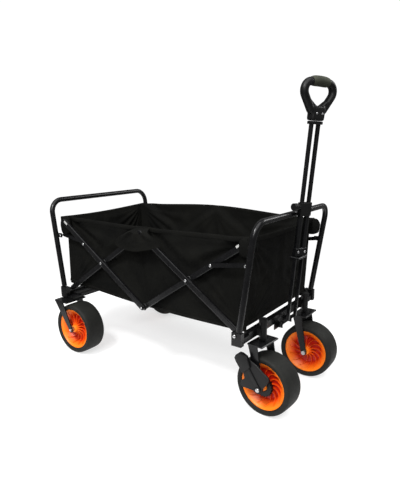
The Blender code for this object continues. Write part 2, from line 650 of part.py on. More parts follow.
def grip_loop():
    """Centre line of the D-grip's loop, in the handle's own frame."""
    half = GRIP_WIDTH / 2 - GRIP_TUBE
    top = GRIP_BOTTOM + GRIP_HEIGHT - GRIP_TUBE
    low = GRIP_BOTTOM + 0.0260
    corner = 0.0260
    right = arc((half - corner, top - corner - 0.0030), corner, math.radians(-35), math.radians(78), 6)
    points = [(0.0120, low)] + right + [(0.0, top + 0.0015)]
    points += [(-y, z) for y, z in right[::-1]] + [(-0.0120, low)]
    return [Vector((0, y, z)) for y, z in points]


def grip():
    """D-grip with its neck, and the soft insert along its top."""
    frame = up_handle(HANDLE_TURN, ROD_FORWARD)
    origin = (frame @ Matrix.Translation((0, 0, YOKE_TOP))).translation
    loop = grip_loop()
    tube = sweep(loop, (GRIP_TUBE, GRIP_TUBE + 0.0010), sides=12, closed=True)
    neck = [(-0.0200, GRIP_BOTTOM), (0.0200, GRIP_BOTTOM), (0.0225, GRIP_BOTTOM + 0.0120),
            (0.0215, GRIP_BOTTOM + 0.0280), (0.0100, GRIP_BOTTOM + 0.0360), (-0.0100, GRIP_BOTTOM + 0.0360),
            (-0.0215, GRIP_BOTTOM + 0.0280), (-0.0225, GRIP_BOTTOM + 0.0120)]
    block = slab(neck, -0.0150, 0.0150, bevel=0.0030, segments=2)
    quarter = Matrix.Rotation(math.radians(90), 4, "Z")
    top = GRIP_BOTTOM + GRIP_HEIGHT - GRIP_TUBE + 0.0015
    spine = [Vector((0, y, top - 1.6 * y * y)) for y in (-0.034, -0.017, 0.0, 0.017, 0.034)]
    node("d_grip", moved(tube, frame), "plastic", origin, adds=[moved(moved(block, quarter), frame)])
    swell = (0.0012, 0.0022, 0.0026, 0.0022, 0.0012)
    pad_radii = [(GRIP_TUBE + wide, GRIP_TUBE + wide + 0.0010) for wide in swell]
    pad = sweep(spine, pad_radii, sides=16)
    hollow = sweep(loop, (GRIP_TUBE + CLEAR, GRIP_TUBE + 0.0010 + CLEAR), sides=12, closed=True)
    node("grip_insert", moved(pad, frame), "soft", origin, cuts=[moved(hollow, frame)])


def build():
    """The whole wagon, pitched onto its wheels."""
    global ROOT
    clear_scene()
    ROOT = bpy.data.objects.new("wagon_pitch", None)
    bpy.context.collection.objects.link(ROOT)
    hoops()
    crossbars()
    long_bars()
    spacers()
    links()
    rear_wheels()
    casters()
    tub()
    handle_lower()
    handle_upper()
    grip()
    ROOT.rotation_euler = (0, -PITCH, 0)
    bpy.context.view_layer.update()
    spread = [(piece.matrix_world @ vert.co).x for piece in ROOT.children for vert in piece.data.vertices]
    ROOT.location = (-(min(spread) + max(spread)) / 2, 0, LIFT)


build()
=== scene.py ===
"""Looks of the folding camp wagon: cloth tub, moulded wheels, powder-coated frame and the pull handle.

Shapes are worked out in the wagon's own axes (X to the front, Y to the left, Z up from about the floor
under the rear wheels) and placed by WAGON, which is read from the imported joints. The handle has its own
axes in HANDLE.
"""

import json
import math

import bmesh
import bpy
from mathutils import Matrix, Vector, noise


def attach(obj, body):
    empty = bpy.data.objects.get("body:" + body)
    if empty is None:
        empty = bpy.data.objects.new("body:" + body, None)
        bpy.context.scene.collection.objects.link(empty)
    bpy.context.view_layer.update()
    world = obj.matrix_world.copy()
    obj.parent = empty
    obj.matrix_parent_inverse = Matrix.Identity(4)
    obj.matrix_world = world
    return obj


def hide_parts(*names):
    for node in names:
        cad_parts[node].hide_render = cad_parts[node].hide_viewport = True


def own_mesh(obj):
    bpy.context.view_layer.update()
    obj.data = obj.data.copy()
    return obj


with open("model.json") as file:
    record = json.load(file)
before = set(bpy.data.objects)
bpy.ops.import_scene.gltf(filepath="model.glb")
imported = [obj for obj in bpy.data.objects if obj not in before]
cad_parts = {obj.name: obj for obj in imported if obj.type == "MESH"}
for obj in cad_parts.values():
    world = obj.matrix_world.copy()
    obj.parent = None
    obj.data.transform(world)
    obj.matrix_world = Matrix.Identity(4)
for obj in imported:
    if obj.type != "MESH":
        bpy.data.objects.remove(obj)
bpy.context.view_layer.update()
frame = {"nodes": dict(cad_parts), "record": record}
JOINTS = {joint["name"]: joint for joint in frame["record"]["behaviour"]["joints"]}
NODES = frame["nodes"]

# ---------------------------------------------------------------- sizes, as in the CAD (metres)
SIDES = (("right", -1), ("left", 1))
ENDS = (("rear", -1), ("front", 1))

# Side linkage
PIVOT_Z = 0.2329
CROSS_X, CROSS_Z = 0.1936, 0.3625
BAR_END_X, TOP_Z = 0.3872, 0.4921
BAR_HEIGHT = 0.0190
OPEN_ANGLE = math.radians(33.8)
OUTER_FACE = 0.2443         # outer faces of the two layers of long bars
INNER_FACE = 0.2293
LINK_PIN = (0.4110, 0.4415)
LINK_ON_BAR = 0.1078        # along the bar, from the crossing to the link's rivet
LINK_Y = {"rear": 0.2295, "front": 0.2350}   # middle of each link's layer
BAR_RIVET_Y = OUTER_FACE + 0.0012
HOOP_RIVET_Y, LINK_RIVET_Y, FOOT_RIVET_Y = 0.2488, 0.2382, 0.2662

# Hoops
HOOP_Y, HOOP_R, HOOP_BEND = 0.2558, 0.0095, 0.0480
HOOP_FOOT = (0.3975, 0.2450)
HOOP_TOP = {"rear": (0.4436, 0.5735), "front": (0.4436, 0.5645)}

# Wheels and brakes
WHEEL_STEPS = 96
RIM_R = 0.0752
HUB_R, DISH_WALL, DISH_FLOOR = 0.0148, 0.0480, 0.0070
DISH_EDGE = 0.0335          # how far out the dish of the rim reaches
RIBS, RIB_TWIST, RIB_END = 14, math.radians(34), 0.0690
FORK_OUTSIDE = 0.0465
GEAR_R, GEAR_BORE, GEAR_TEETH, TOOTH_DEPTH = 0.0325, 0.0160, 22, 0.0028
LEVER_BODY = [(-0.0190, -0.0080), (-0.0560, -0.0090), (-0.0640, -0.0020), (-0.0630, 0.0090),
              (-0.0500, 0.0220), (-0.0540, 0.0380), (-0.0690, 0.0600), (-0.0420, 0.0920),
              (-0.0060, 0.0760), (0.0180, 0.0590), (0.0350, 0.0500), (0.0370, 0.0400),
              (0.0280, 0.0240), (0.0160, 0.0080)]
LEVER_PEDAL = [(-0.0540, 0.0400), (-0.0790, 0.0720), (-0.0840, 0.0830), (-0.0790, 0.0930),
               (-0.0660, 0.1040), (-0.0560, 0.1040), (-0.0400, 0.0980), (-0.0340, 0.0880),
               (-0.0260, 0.0660)]
LEVER_RIB = [(-0.0060, 0.0060), (-0.0430, 0.0560), (-0.0330, 0.0640), (0.0070, 0.0080)]

# Tub
SIDE_Y = 0.2105
WALL_Y = SIDE_Y - 0.0046
WALL_FOOT = {"rear": -0.4215, "front": 0.3910}
WALL_RIM = {"rear": -0.4165, "front": 0.4040}
FLOOR_Z, RIM_Z = 0.2420, 0.5075
RIM_FROM, RIM_LENGTH = -0.4100, 0.8100
HEM_Z, HEM_FROM, HEM_LENGTH = 0.2490, -0.3900, 0.7700
BOARD_TIP, BOARD_LENGTH, BOARD_HALF_WIDTH, BOARD_Z = 0.0050, 0.3700, 0.1990, 0.2391
FLOOR_CLOTH_Y, FLOOR_CLOTH_Z = SIDE_Y - 0.0045, 0.2344
# Gathered corners: x, z and half sizes.
CORNER_Y = 0.2240
CORNER_FOLDS = {"rear": (-0.4035, 0.4780, (0.0250, 0.0125, 0.0370)),
                "front": (0.4030, 0.4880, (0.0300, 0.0130, 0.0290))}
# Where the cloth is held, the direction in which its creases fan out and half the fan's width, in degrees.
SIDE_PULLS = (((-0.41, 0.50), -30, 38), ((0.40, 0.50), 212, 38),
              ((0.0, 0.50), -90, 75), ((0.0, 0.245), 90, 70),
              ((-0.39, 0.25), 35, 34), ((0.38, 0.24), 145, 34))
WALL_PULLS = (((-WALL_Y, RIM_Z), -48, 40), ((WALL_Y, RIM_Z), 228, 40),
              ((-WALL_Y, FLOOR_Z), 42, 38), ((WALL_Y, FLOOR_Z), 138, 38))

# Handle
HANDLE_FOOT = Vector((0.4180, 0.0, 0.2005))
HANDLE_LEAN, HANDLE_TURN = math.radians(4.8), math.radians(-20.0)
ROD_FORWARD, ROD_SPACING = 0.0205, 0.0286
YOKE_TOP, GRIP_BOTTOM, GRIP_HEIGHT, GRIP_WIDTH, GRIP_TUBE = 0.2320, 0.6413, 0.1210, 0.1460, 0.0120
GRIP_TOP = GRIP_BOTTOM + GRIP_HEIGHT - GRIP_TUBE + 0.0010   # centre line of the grip's upper bar

# Studio
ROOM_LIGHT = 0.22           # light from the room; the camera itself sees it white
FLOOR_RADIUS = 0.92
FLOOR_GLOW = 0.66           # the floor glows a little, so that the shadows on it stay faint


def wagon_axes():
    """Matrix from the wagon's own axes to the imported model's."""
    rear = Vector(JOINTS["fold"]["pos_m"])
    front = Vector(JOINTS["front_foot_pivot"]["pos_m"])
    along = (front - rear).normalized()
    left = Vector((0.0, 1.0, 0.0))
    up = along.cross(left)
    origin = (rear + front) / 2 - up * PIVOT_Z
    turn = Matrix((along, left, up)).transposed().to_4x4()
    return Matrix.Translation(origin) @ turn


WAGON = wagon_axes()
HANDLE = (WAGON @ Matrix.Translation(HANDLE_FOOT) @ Matrix.Rotation(HANDLE_LEAN, 4, "Y")
          @ Matrix.Translation((ROD_FORWARD, 0, 0)) @ Matrix.Rotation(HANDLE_TURN, 4, "Z"))


# ---------------------------------------------------------------- materials
class Shader:
    """A Principled material whose nodes are added one by one."""

    def __init__(self, name, rough, metal=0.0):
        self.made = bpy.data.materials.new(name)
        self.made.use_nodes = True
        self.tree = self.made.node_tree
        self.body = self.tree.nodes["Principled BSDF"]
        self.body.inputs["Roughness"].default_value = rough
        self.body.inputs["Metallic"].default_value = metal
        self.where = self.tree.nodes.new("ShaderNodeTexCoord").outputs["Object"]

    def add(self, kind, **values):
        """A node with its inputs or properties set."""
        made = self.tree.nodes.new(kind)
        for key, value in values.items():
            if hasattr(made, key):
                setattr(made, key, value)
            else:
                made.inputs[key].default_value = value
        return made

    def join(self, source, target):
        """Link one socket to another."""
        self.tree.links.new(source, target)

    def grain(self, scale, detail=4.0, stretch=(1, 1, 1)):
        """Noise over the surface, scale in cells per metre."""
        place = self.add("ShaderNodeMapping")
        place.inputs["Scale"].default_value = stretch
        self.join(self.where, place.inputs["Vector"])
        made = self.add("ShaderNodeTexNoise", Scale=scale, Detail=detail)
        self.join(place.outputs["Vector"], made.inputs["Vector"])
        return made.outputs["Fac"]

    def ramp(self, source, *stops):
        """Colours by value: (position, (r, g, b))."""
        made = self.add("ShaderNodeValToRGB")
        points = made.color_ramp.elements
        while len(points) < len(stops):
            points.new(0.5)
        for point, (position, colour) in zip(points, stops):
            point.position = position
            point.color = (*colour, 1.0)
        self.join(source, made.inputs["Fac"])
        return made.outputs["Color"]

    def colour(self, source):
        """Drive the base colour."""
        self.join(source, self.body.inputs["Base Color"])

    def rough(self, source, low, high):
        """Roughness between two values."""
        made = self.add("ShaderNodeMapRange")
        made.inputs["To Min"].default_value = low
        made.inputs["To Max"].default_value = high
        self.join(source, made.inputs["Value"])
        self.join(made.outputs["Result"], self.body.inputs["Roughness"])

    def bump(self, source, depth, strength=1.0, below=None):
        """Bump of a depth in metres, on top of another bump if given."""
        made = self.add("ShaderNodeBump")
        made.inputs["Distance"].default_value = depth
        made.inputs["Strength"].default_value = strength
        self.join(source, made.inputs["Height"])
        if below:
            self.join(below, made.inputs["Normal"])
        self.join(made.outputs["Normal"], self.body.inputs["Normal"])
        return made.outputs["Normal"]


def powder_coat():
    """Black powder coat: satin, with a fine orange peel."""
    made = Shader("powder_coat", 0.34)
    speckle = made.grain(35, 6)
    made.colour(made.ramp(speckle, (0.35, (0.0026, 0.0026, 0.0030)), (0.75, (0.0056, 0.0056, 0.0060))))
    made.rough(made.grain(60, 3), 0.19, 0.33)
    made.bump(made.grain(900, 2), 0.00008, 0.25)
    made.body.inputs["Specular IOR Level"].default_value = 0.26
    return made.made


def bright_steel():
    """Zinc-plated bolts and rivets."""
    made = Shader("bright_steel", 0.3, 1.0)
    made.colour(made.ramp(made.grain(300, 4), (0.3, (0.40, 0.40, 0.41)), (0.7, (0.62, 0.62, 0.62))))
    made.rough(made.grain(500, 3), 0.22, 0.40)
    made.bump(made.grain(1500, 2), 0.00006, 0.4)
    return made.made


def weave(shader, thread):
    """Plain weave: two sets of threads across each other, whichever way the cloth faces."""
    total = None
    for axis in ("X", "Y", "Z"):
        wave = shader.add("ShaderNodeTexWave", wave_type="BANDS", bands_direction=axis)
        wave.inputs["Scale"].default_value = 0.5 / thread
        wave.inputs["Distortion"].default_value = 0.35
        wave.inputs["Detail Scale"].default_value = 3.0
        shader.join(shader.where, wave.inputs["Vector"])
        if total is None:
            total = wave.outputs["Fac"]
            continue
        added = shader.add("ShaderNodeMath", operation="ADD")
        shader.join(total, added.inputs[0])
        shader.join(wave.outputs["Fac"], added.inputs[1])
        total = added.outputs["Value"]
    return total


def cloth(name, dark, light, rough):
    """Black woven polyester, faintly uneven in colour, with its weave and soft creases."""
    made = Shader(name, rough)
    made.colour(made.ramp(made.grain(9, 5), (0.30, dark), (0.72, light)))
    made.rough(made.grain(40, 4), rough - 0.10, rough + 0.06)
    soft = made.bump(made.grain(55, 5), 0.0022, 0.30)
    made.bump(weave(made, 0.0011), 0.00022, 0.55, soft)
    made.body.inputs["Specular IOR Level"].default_value = 0.06
    return made.made


def rim_plastic():
    """Glossy orange plastic with painted shade: deep red in the recess between the ribs ("depth" 0), orange
    at the lip.
    """
    made = Shader("orange_rim", 0.32)
    depth = made.add("ShaderNodeAttribute", attribute_name="depth").outputs["Fac"]
    tone_and_recess_shade = made.add("ShaderNodeMath", operation="MULTIPLY_ADD")
    made.join(made.grain(40, 4), tone_and_recess_shade.inputs[0])
    tone_and_recess_shade.inputs[1].default_value = 0.16
    made.join(depth, tone_and_recess_shade.inputs[2])
    # Painted shade: the ramp turns the recess deep red and keeps the lip and the rib tops orange.
    made.colour(made.ramp(tone_and_recess_shade.outputs["Value"],
                          (0.10, (0.42, 0.010, 0.002)), (0.45, (0.60, 0.050, 0.003)),
                          (0.80, (0.76, 0.135, 0.004)), (1.0, (0.84, 0.190, 0.008))))
    made.rough(made.grain(90, 3), 0.30, 0.44)
    made.bump(made.grain(500, 3), 0.00018, 0.35)
    made.body.inputs["Specular IOR Level"].default_value = 0.30
    return made.made


def moulded(name, dark, light, low, high, grain_size=700):
    """Moulded plastic or rubber with a fine skin."""
    made = Shader(name, (low + high) / 2)
    made.body.inputs["Specular IOR Level"].default_value = 0.24
    made.colour(made.ramp(made.grain(28, 5), (0.30, dark), (0.72, light)))
    made.rough(made.grain(90, 3), low, high)
    made.bump(made.grain(grain_size, 3), 0.00018, 0.45)
    return made.made


STEEL = powder_coat()
BRIGHT = bright_steel()
CLOTH = cloth("tub_cloth", (0.0030, 0.0031, 0.0029), (0.0064, 0.0064, 0.0054), 0.86)
BINDING = cloth("binding_tape", (0.0040, 0.0040, 0.0037), (0.0076, 0.0076, 0.0064), 0.76)
PLASTIC = moulded("black_plastic", (0.0024, 0.0024, 0.0027), (0.0050, 0.0050, 0.0051), 0.36, 0.52)
TYRE = moulded("tyre_rubber", (0.0050, 0.0051, 0.0043), (0.0088, 0.0090, 0.0074), 0.60, 0.80, 420)
ORANGE = rim_plastic()
SOFT = moulded("soft_insert", (0.028, 0.031, 0.021), (0.050, 0.054, 0.037), 0.66, 0.84, 260)
# Light grey of the painted highlights on the bar ends.
HIGHLIGHT_GREY = moulded("bar_end_painted_highlight", (0.34, 0.34, 0.33), (0.56, 0.56, 0.54), 0.34, 0.50)


# ---------------------------------------------------------------- shapes
def tube(path, radius, sides=28, closed=False, flat=None):
    """Tube along a path that lies in one plane. flat is its half thickness out of that plane."""
    bm = bmesh.new()
    path = [Vector(p) for p in path]
    count = len(path)
    middle = sum(path, Vector()) / count
    normal = Vector()
    for a, b in zip(path, path[1:] + path[:1]):
        normal += (a - middle).cross(b - middle)
    normal = normal.normalized() if normal.length > 1e-9 else Vector((0, 1, 0))
    rings = []
    for i, point in enumerate(path):
        before = path[i - 1] if (i or closed) else point
        after = path[(i + 1) % count] if (i < count - 1 or closed) else point
        into = (point - before) if (point - before).length else (after - point)
        out = (after - point) if (after - point).length else into
        tangent = (into.normalized() + out.normalized()).normalized()
        aside = tangent.cross(normal).normalized()
        wide = radius[i] if isinstance(radius, list) else radius
        deep = wide if flat is None else (flat[i] if isinstance(flat, list) else flat)
        ring = []
        for k in range(sides):
            angle = math.tau * k / sides
            spot = point + aside * math.cos(angle) * wide + normal * math.sin(angle) * deep
            ring.append(bm.verts.new(spot))
        rings.append(ring)
    pairs = list(zip(rings, rings[1:])) + ([(rings[-1], rings[0])] if closed else [])
    if not closed:
        bm.faces.new(rings[0])
        bm.faces.new(rings[-1][::-1])
    for ring, other in pairs:
        for k in range(sides):
            j = (k + 1) % sides
            bm.faces.new((ring[j], ring[k], other[k], other[j]))
    bmesh.ops.recalc_face_normals(bm, faces=bm.faces[:])
    return bm


def lathe(profile, steps, closed=True):
    """Ring turned about local Y from a profile of (radius, y)."""
    bm = bmesh.new()
    rings = []
    for i in range(steps):
        angle = math.tau * i / steps
        rings.append([bm.verts.new((r * math.cos(angle), y, r * math.sin(angle))) for r, y in profile])
    spans = len(profile) if closed else len(profile) - 1
    for i, ring in enumerate(rings):
        other = rings[(i + 1) % steps]
        for k in range(spans):
            j = (k + 1) % len(profile)
            bm.faces.new((ring[k], ring[j], other[j], other[k]))
    if not closed:
        bmesh.ops.holes_fill(bm, edges=[e for e in bm.edges if e.is_boundary], sides=0)
    bmesh.ops.recalc_face_normals(bm, faces=bm.faces[:])
    return bm


def slab(outline, low, high, bevel=0.0, segments=3):
    """Plate with an outline of (x, z) between two Y values, its edges rounded."""
    bm = bmesh.new()
    near = [bm.verts.new((x, low, z)) for x, z in outline]
    far = [bm.verts.new((x, high, z)) for x, z in outline]
    bm.faces.new(near)
    bm.faces.new(far[::-1])
    for i in range(len(outline)):
        j = (i + 1) % len(outline)
        bm.faces.new((near[j], near[i], far[i], far[j]))
    bmesh.ops.recalc_face_normals(bm, faces=bm.faces[:])
    if bevel:
        rims = [e for e in bm.edges if abs(e.verts[0].co.y - e.verts[1].co.y) < 1e-7]
        bmesh.ops.bevel(bm, geom=rims, offset=bevel, segments=segments, affect="EDGES", profile=0.6)
    return bm


def soft_box(size, bevel, segments=3):
    """Rounded block about the origin."""
    bm = bmesh.new()
    bmesh.ops.create_cube(bm, size=1.0)
    for vert in bm.verts:
        vert.co = Vector((vert.co[i] * size[i] for i in range(3)))
    bmesh.ops.bevel(bm, geom=bm.edges[:], offset=bevel, segments=segments, affect="EDGES", profile=0.6)
    return bm


def merge(*shapes):
    """Several closed shapes in one mesh."""
    bm = bmesh.new()
    for shape in shapes:
        mesh = bpy.data.meshes.new("part")
        shape.to_mesh(mesh)
        shape.free()
        bm.from_mesh(mesh)
        bpy.data.meshes.remove(mesh)
    return bm


def placed(bm, matrix):
    """The same shape, placed."""
    bm.transform(matrix)
    return bm


def arc(centre, radius, start, end, steps):
    """Points of an arc, both ends kept; angles in degrees."""
    turn = [math.radians(start + (end - start) * i / steps) for i in range(steps + 1)]
    return [(centre[0] + radius * math.cos(t), centre[1] + radius * math.sin(t)) for t in turn]


def dome(radius, height, sides=24):
    """Rivet head: a low dome that rises along local Y from 0."""
    profile = [(radius, 0.0), (radius, height * 0.25)]
    profile += [(radius * math.cos(t), height * (0.25 + 0.75 * math.sin(t)))
                for t in (math.radians(a) for a in (20, 40, 60, 78))]
    return lathe(profile, sides, closed=False)


def on_side(x, z, y, s):
    """Places a local +Y shape at a spot on the outside of one side."""
    turn = Matrix.Identity(4) if s > 0 else Matrix.Rotation(math.pi, 4, "Z")
    return Matrix.Translation((x, s * y, z)) @ turn


def both_faces(half):
    """Closed profile of (radius, y) from its half on one face."""
    return [(r, -y) for r, y in half] + half[::-1]


def smooth(value):
    """Ease from 0 to 1."""
    value = min(1.0, max(0.0, value))
    return value * value * (3 - 2 * value)


def between(t, rate):
    """0 at both ends of 0 to 1, and 1 away from them."""
    return min(1.0, t * rate) * min(1.0, (1 - t) * rate)


def piece(name, bm, material, body, place=WAGON, stands_for=(), sharp=35):
    """One finished piece that rides on a CAD body."""
    bm.transform(place)
    mesh = bpy.data.meshes.new(name)
    bm.to_mesh(mesh)
    bm.free()
    mesh.materials.append(material)
    made = bpy.data.objects.new(name, mesh)
    bpy.context.collection.objects.link(made)
    mesh.shade_smooth()
    mesh.set_sharp_from_angle(angle=math.radians(sharp))
    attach(made, body)
    if stands_for:
        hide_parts(*stands_for)
    return made


def dress(nodes, material, bevel=0.0):
    """Keep CAD nodes as they are, with a finished material and softened edges."""
    for name in nodes:
        node = NODES[name]
        node.data.materials.clear()
        node.data.materials.append(material)
        if bevel:
            edge = node.modifiers.new("soft_edges", "BEVEL")
            edge.width = bevel
            edge.segments = 2
            edge.limit_method = "ANGLE"
            edge.angle_limit = math.radians(50)


# ---------------------------------------------------------------- wheels
def wheel_place(joint):
    """Matrix that puts local Y on a wheel's axle."""
    found = JOINTS[joint]
    turn = Vector((0, 1, 0)).rotation_difference(Vector(found["axis"])).to_matrix().to_4x4()
    tilt = Matrix.Rotation(-math.asin(WAGON[2][0]), 4, "Y")
    return Matrix.Translation(found["pos_m"]) @ turn @ tilt


def wall_depth(radius):
    """How far out from the middle the dish of the rim stands at a radius."""
    if radius > DISH_WALL:
        t = (radius - DISH_WALL) / (RIM_R - DISH_WALL)
        return DISH_FLOOR + (DISH_EDGE - DISH_FLOOR) * t ** 0.80
    return DISH_FLOOR


def rib(angle, face):
    """One thin curved rib that runs down from the hub and dies out on the wall of the dish."""
    steps = 12
    bm = bmesh.new()
    rows = []
    for i in range(steps + 1):
        t = i / steps
        radius = HUB_R - 0.0010 + t * (RIB_END - HUB_R)
        heading = angle + RIB_TWIST * face * t ** 1.6
        along = Vector((math.cos(heading), 0, math.sin(heading)))
        aside = Vector((-math.sin(heading), 0, math.cos(heading)))
        half = 0.0010 - 0.0004 * t
        top = 0.0250 - 0.0105 * math.sin(math.pi * min(1.0, t * 1.10)) ** 0.8 + 0.0030 * t
        top = max(top, wall_depth(radius) + 0.0004)
        floor = DISH_FLOOR - 0.0005
        spots = ((-half * 1.8, floor), (-half, top - 0.0010), (-half * 0.5, top), (half * 0.5, top),
                 (half, top - 0.0010), (half * 1.8, floor))
        rows.append([bm.verts.new(along * radius + aside * a + Vector((0, face * b, 0))) for a, b in spots])
    for row, other in zip(rows, rows[1:]):
        for k in range(6):
            j = (k + 1) % 6
            bm.faces.new((row[k], row[j], other[j], other[k]))
    bm.faces.new(rows[0])
    bm.faces.new(rows[-1][::-1])
    bmesh.ops.recalc_face_normals(bm, faces=bm.faces[:])
    return bm


def paint_recess_shade(bm):
    """Store how far out of the dish each point stands; it drives the painted shade in the rim's recess."""
    layer = bm.verts.layers.float.new("depth")
    for vert in bm.verts:
        radius = math.hypot(vert.co.x, vert.co.z)
        out = max(0.0, (abs(vert.co.y) - DISH_FLOOR) / (DISH_EDGE + 0.0010 - DISH_FLOOR))
        near_lip = (radius - 0.0560) / 0.0160
        vert[layer] = max(min(1.0, out ** 0.8 * 1.05), min(1.0, near_lip))
    return bm


def tyre_profile():
    """Smooth tyre with rounded shoulders."""
    return both_faces([(0.0757, 0.0334), (0.0770, 0.0358), (0.0796, 0.0377), (0.0834, 0.0387),
                       (0.0874, 0.0385), (0.0904, 0.0373), (0.0925, 0.0346), (0.0937, 0.0304),
                       (0.0943, 0.0230), (0.0946, 0.0130), (0.0947, 0.0050)])


def rim_profile():
    """Hub, dish and lip of a rim."""
    hub = [(0.0062, 0.0340), (0.0108, 0.0352), (0.0124, 0.0348), (0.0132, 0.0335), (HUB_R, 0.0170),
           (HUB_R + 0.0030, DISH_FLOOR + 0.0015), (HUB_R + 0.0060, DISH_FLOOR)]
    wall = [DISH_WALL + (0.0728 - DISH_WALL) * k / 9 for k in range(10)]
    dish = [(r, wall_depth(r)) for r in wall]
    lip = [(0.0738, 0.0338), (0.0747, 0.0337), (RIM_R, 0.0328), (RIM_R, 0.0200)]
    return both_faces(hub + dish + lip)


def wheels():
    """Tyres and ribbed rims on all four axles."""
    for end, _ in ENDS:
        for side, _ in SIDES:
            name = f"{end}_{side}"
            body = f"{name}_wheel"
            place = wheel_place(f"{name}_roll")
            tyre = lathe(tyre_profile(), WHEEL_STEPS)
            piece(f"{name}_tyre_skin", tyre, TYRE, body, place, (f"{name}_tyre",), 50)
            shapes = [lathe(rim_profile(), WHEEL_STEPS)]
            shapes += [rib(math.tau * i / RIBS, face) for face in (-1, 1) for i in range(RIBS)]
            # The depth attribute carries the painted shade of the rim's recess.
            rim = paint_recess_shade(merge(*shapes))
            piece(f"{name}_rim_shell", rim, ORANGE, body, place, (f"{name}_rim",), 38)


def gear(low, high):
    """Toothed ring about local Y."""
    root = GEAR_R - TOOTH_DEPTH
    outline = []
    hole = []
    for i in range(GEAR_TEETH):
        for part, radius in ((0.0, GEAR_R), (0.34, GEAR_R), (0.5, root), (0.84, root)):
            angle = math.tau * (i + part) / GEAR_TEETH
            outline.append((radius * math.cos(angle), radius * math.sin(angle)))
            hole.append((GEAR_BORE * math.cos(angle), GEAR_BORE * math.sin(angle)))
    bm = bmesh.new()
    layers = [[bm.verts.new((x, y, z)) for x, z in ring] for ring in (outline, hole) for y in (low, high)]
    count = len(outline)
    for i in range(count):
        j = (i + 1) % count
        for one, other in ((0, 1), (3, 2), (2, 0), (1, 3)):
            bm.faces.new((layers[one][i], layers[one][j], layers[other][j], layers[other][i]))
    bmesh.ops.recalc_face_normals(bm, faces=bm.faces[:])
    return bm


def outside_fork(s, inner, outer):
    """Lower and upper Y of a layer that lies between two distances outside a caster fork."""
    return sorted((s * (FORK_OUTSIDE + inner), s * (FORK_OUTSIDE + outer)))


def lever(s):
    """Brake lever: body with a round foot, pedal, stiffening rib and boss."""
    body = slab(arc((0.0, 0.0), 0.0140, -60, -120, 4) + LEVER_BODY, *outside_fork(s, 0.0060, 0.0118), 0.0018)
    pedal = slab(LEVER_PEDAL, *outside_fork(s, 0.0060, 0.0190), 0.0034, 4)
    near, far = outside_fork(s, 0.0110, 0.0148)
    web = slab(LEVER_RIB, near, far, 0.0010, 2)
    boss = lathe([(0.0052, near), (0.0112, near), (0.0112, far), (0.0052, far)], 32)
    return merge(body, pedal, web, boss)


def brakes():
    """Toothed rings on the front hubs, and the brake levers that straddle the caster forks."""
    for side, s in SIDES:
        place = wheel_place(f"front_{side}_roll")
        teeth = gear(*sorted((s * 0.0232, s * 0.0322)))
        piece(f"brake_ring_{side}_teeth", teeth, PLASTIC, f"front_{side}_wheel", place,
              (f"brake_ring_{side}",))
        piece(f"brake_lever_{side}_shell", lever(s), PLASTIC, f"{side}_brake_lever", place,
              (f"brake_lever_{side}",))
        nut = placed(dome(0.0068, 0.0046), on_side(0, 0, FORK_OUTSIDE + 0.0146, s))
        piece(f"caster_bolt_{side}", nut, BRIGHT, f"{side}_caster", place, ())


# ---------------------------------------------------------------- frame
def hoop_points(end, e):
    """Centre line of a hoop from its right foot to its left."""
    steps = 12
    foot = Vector((e * HOOP_FOOT[0], 0, HOOP_FOOT[1]))
    top = Vector((e * HOOP_TOP[end][0], 0, HOOP_TOP[end][1]))
    along = (top - foot).normalized()
    height = (top - foot).length
    flat = HOOP_Y - HOOP_BEND
    route = [(-HOOP_Y, 0.0)]
    route += arc((-flat, height - HOOP_BEND), HOOP_BEND, 180, 90, steps)
    route += arc((flat, height - HOOP_BEND), HOOP_BEND, 90, 0, steps)
    route += [(HOOP_Y, 0.0)]
    return [Vector((foot.x, y, foot.z)) + along * up for y, up in route]


def rivets(name, body, y, *places, radius=0.0046, height=0.0026):
    """Rivet heads at places of (x, z), on both sides of the wagon."""
    heads = [placed(dome(radius, height), on_side(x, z, y, s)) for _, s in SIDES for x, z in places]
    piece(name, merge(*heads), BRIGHT, body, WAGON, ())


def hoops():
    """Bent tube hoops with the bracket and pin of each link."""
    pin_x, pin_z = LINK_PIN
    for end, e in ENDS:
        shapes = [tube(hoop_points(end, e), HOOP_R)]
        low = LINK_Y[end] - 0.0040
        collar = low + 0.0018
        for _, s in SIDES:
            bracket = soft_box((0.0240, 0.0046, 0.0160), 0.0014)
            shapes.append(placed(bracket, Matrix.Translation((e * (pin_x + 0.0065), s * 0.2445, pin_z))))
            wrap = soft_box((0.0150, 0.0120, 0.0160), 0.0030)
            shapes.append(placed(wrap, Matrix.Translation((e * 0.4235, s * 0.2480, pin_z))))
            profile = [(0.0056, low), (0.0056, collar), (0.0032, collar), (0.0032, 0.2460)]
            pin = lathe(profile, 20, closed=False)
            shapes.append(placed(pin, on_side(e * pin_x, pin_z, 0.0, s)))
        piece(f"{end}_hoop_tube", merge(*shapes), STEEL, f"{end}_frame", WAGON, (f"{end}_hoop",))
        rivets(f"{end}_hoop_rivets", f"{end}_frame", HOOP_RIVET_Y, (e * pin_x, pin_z))


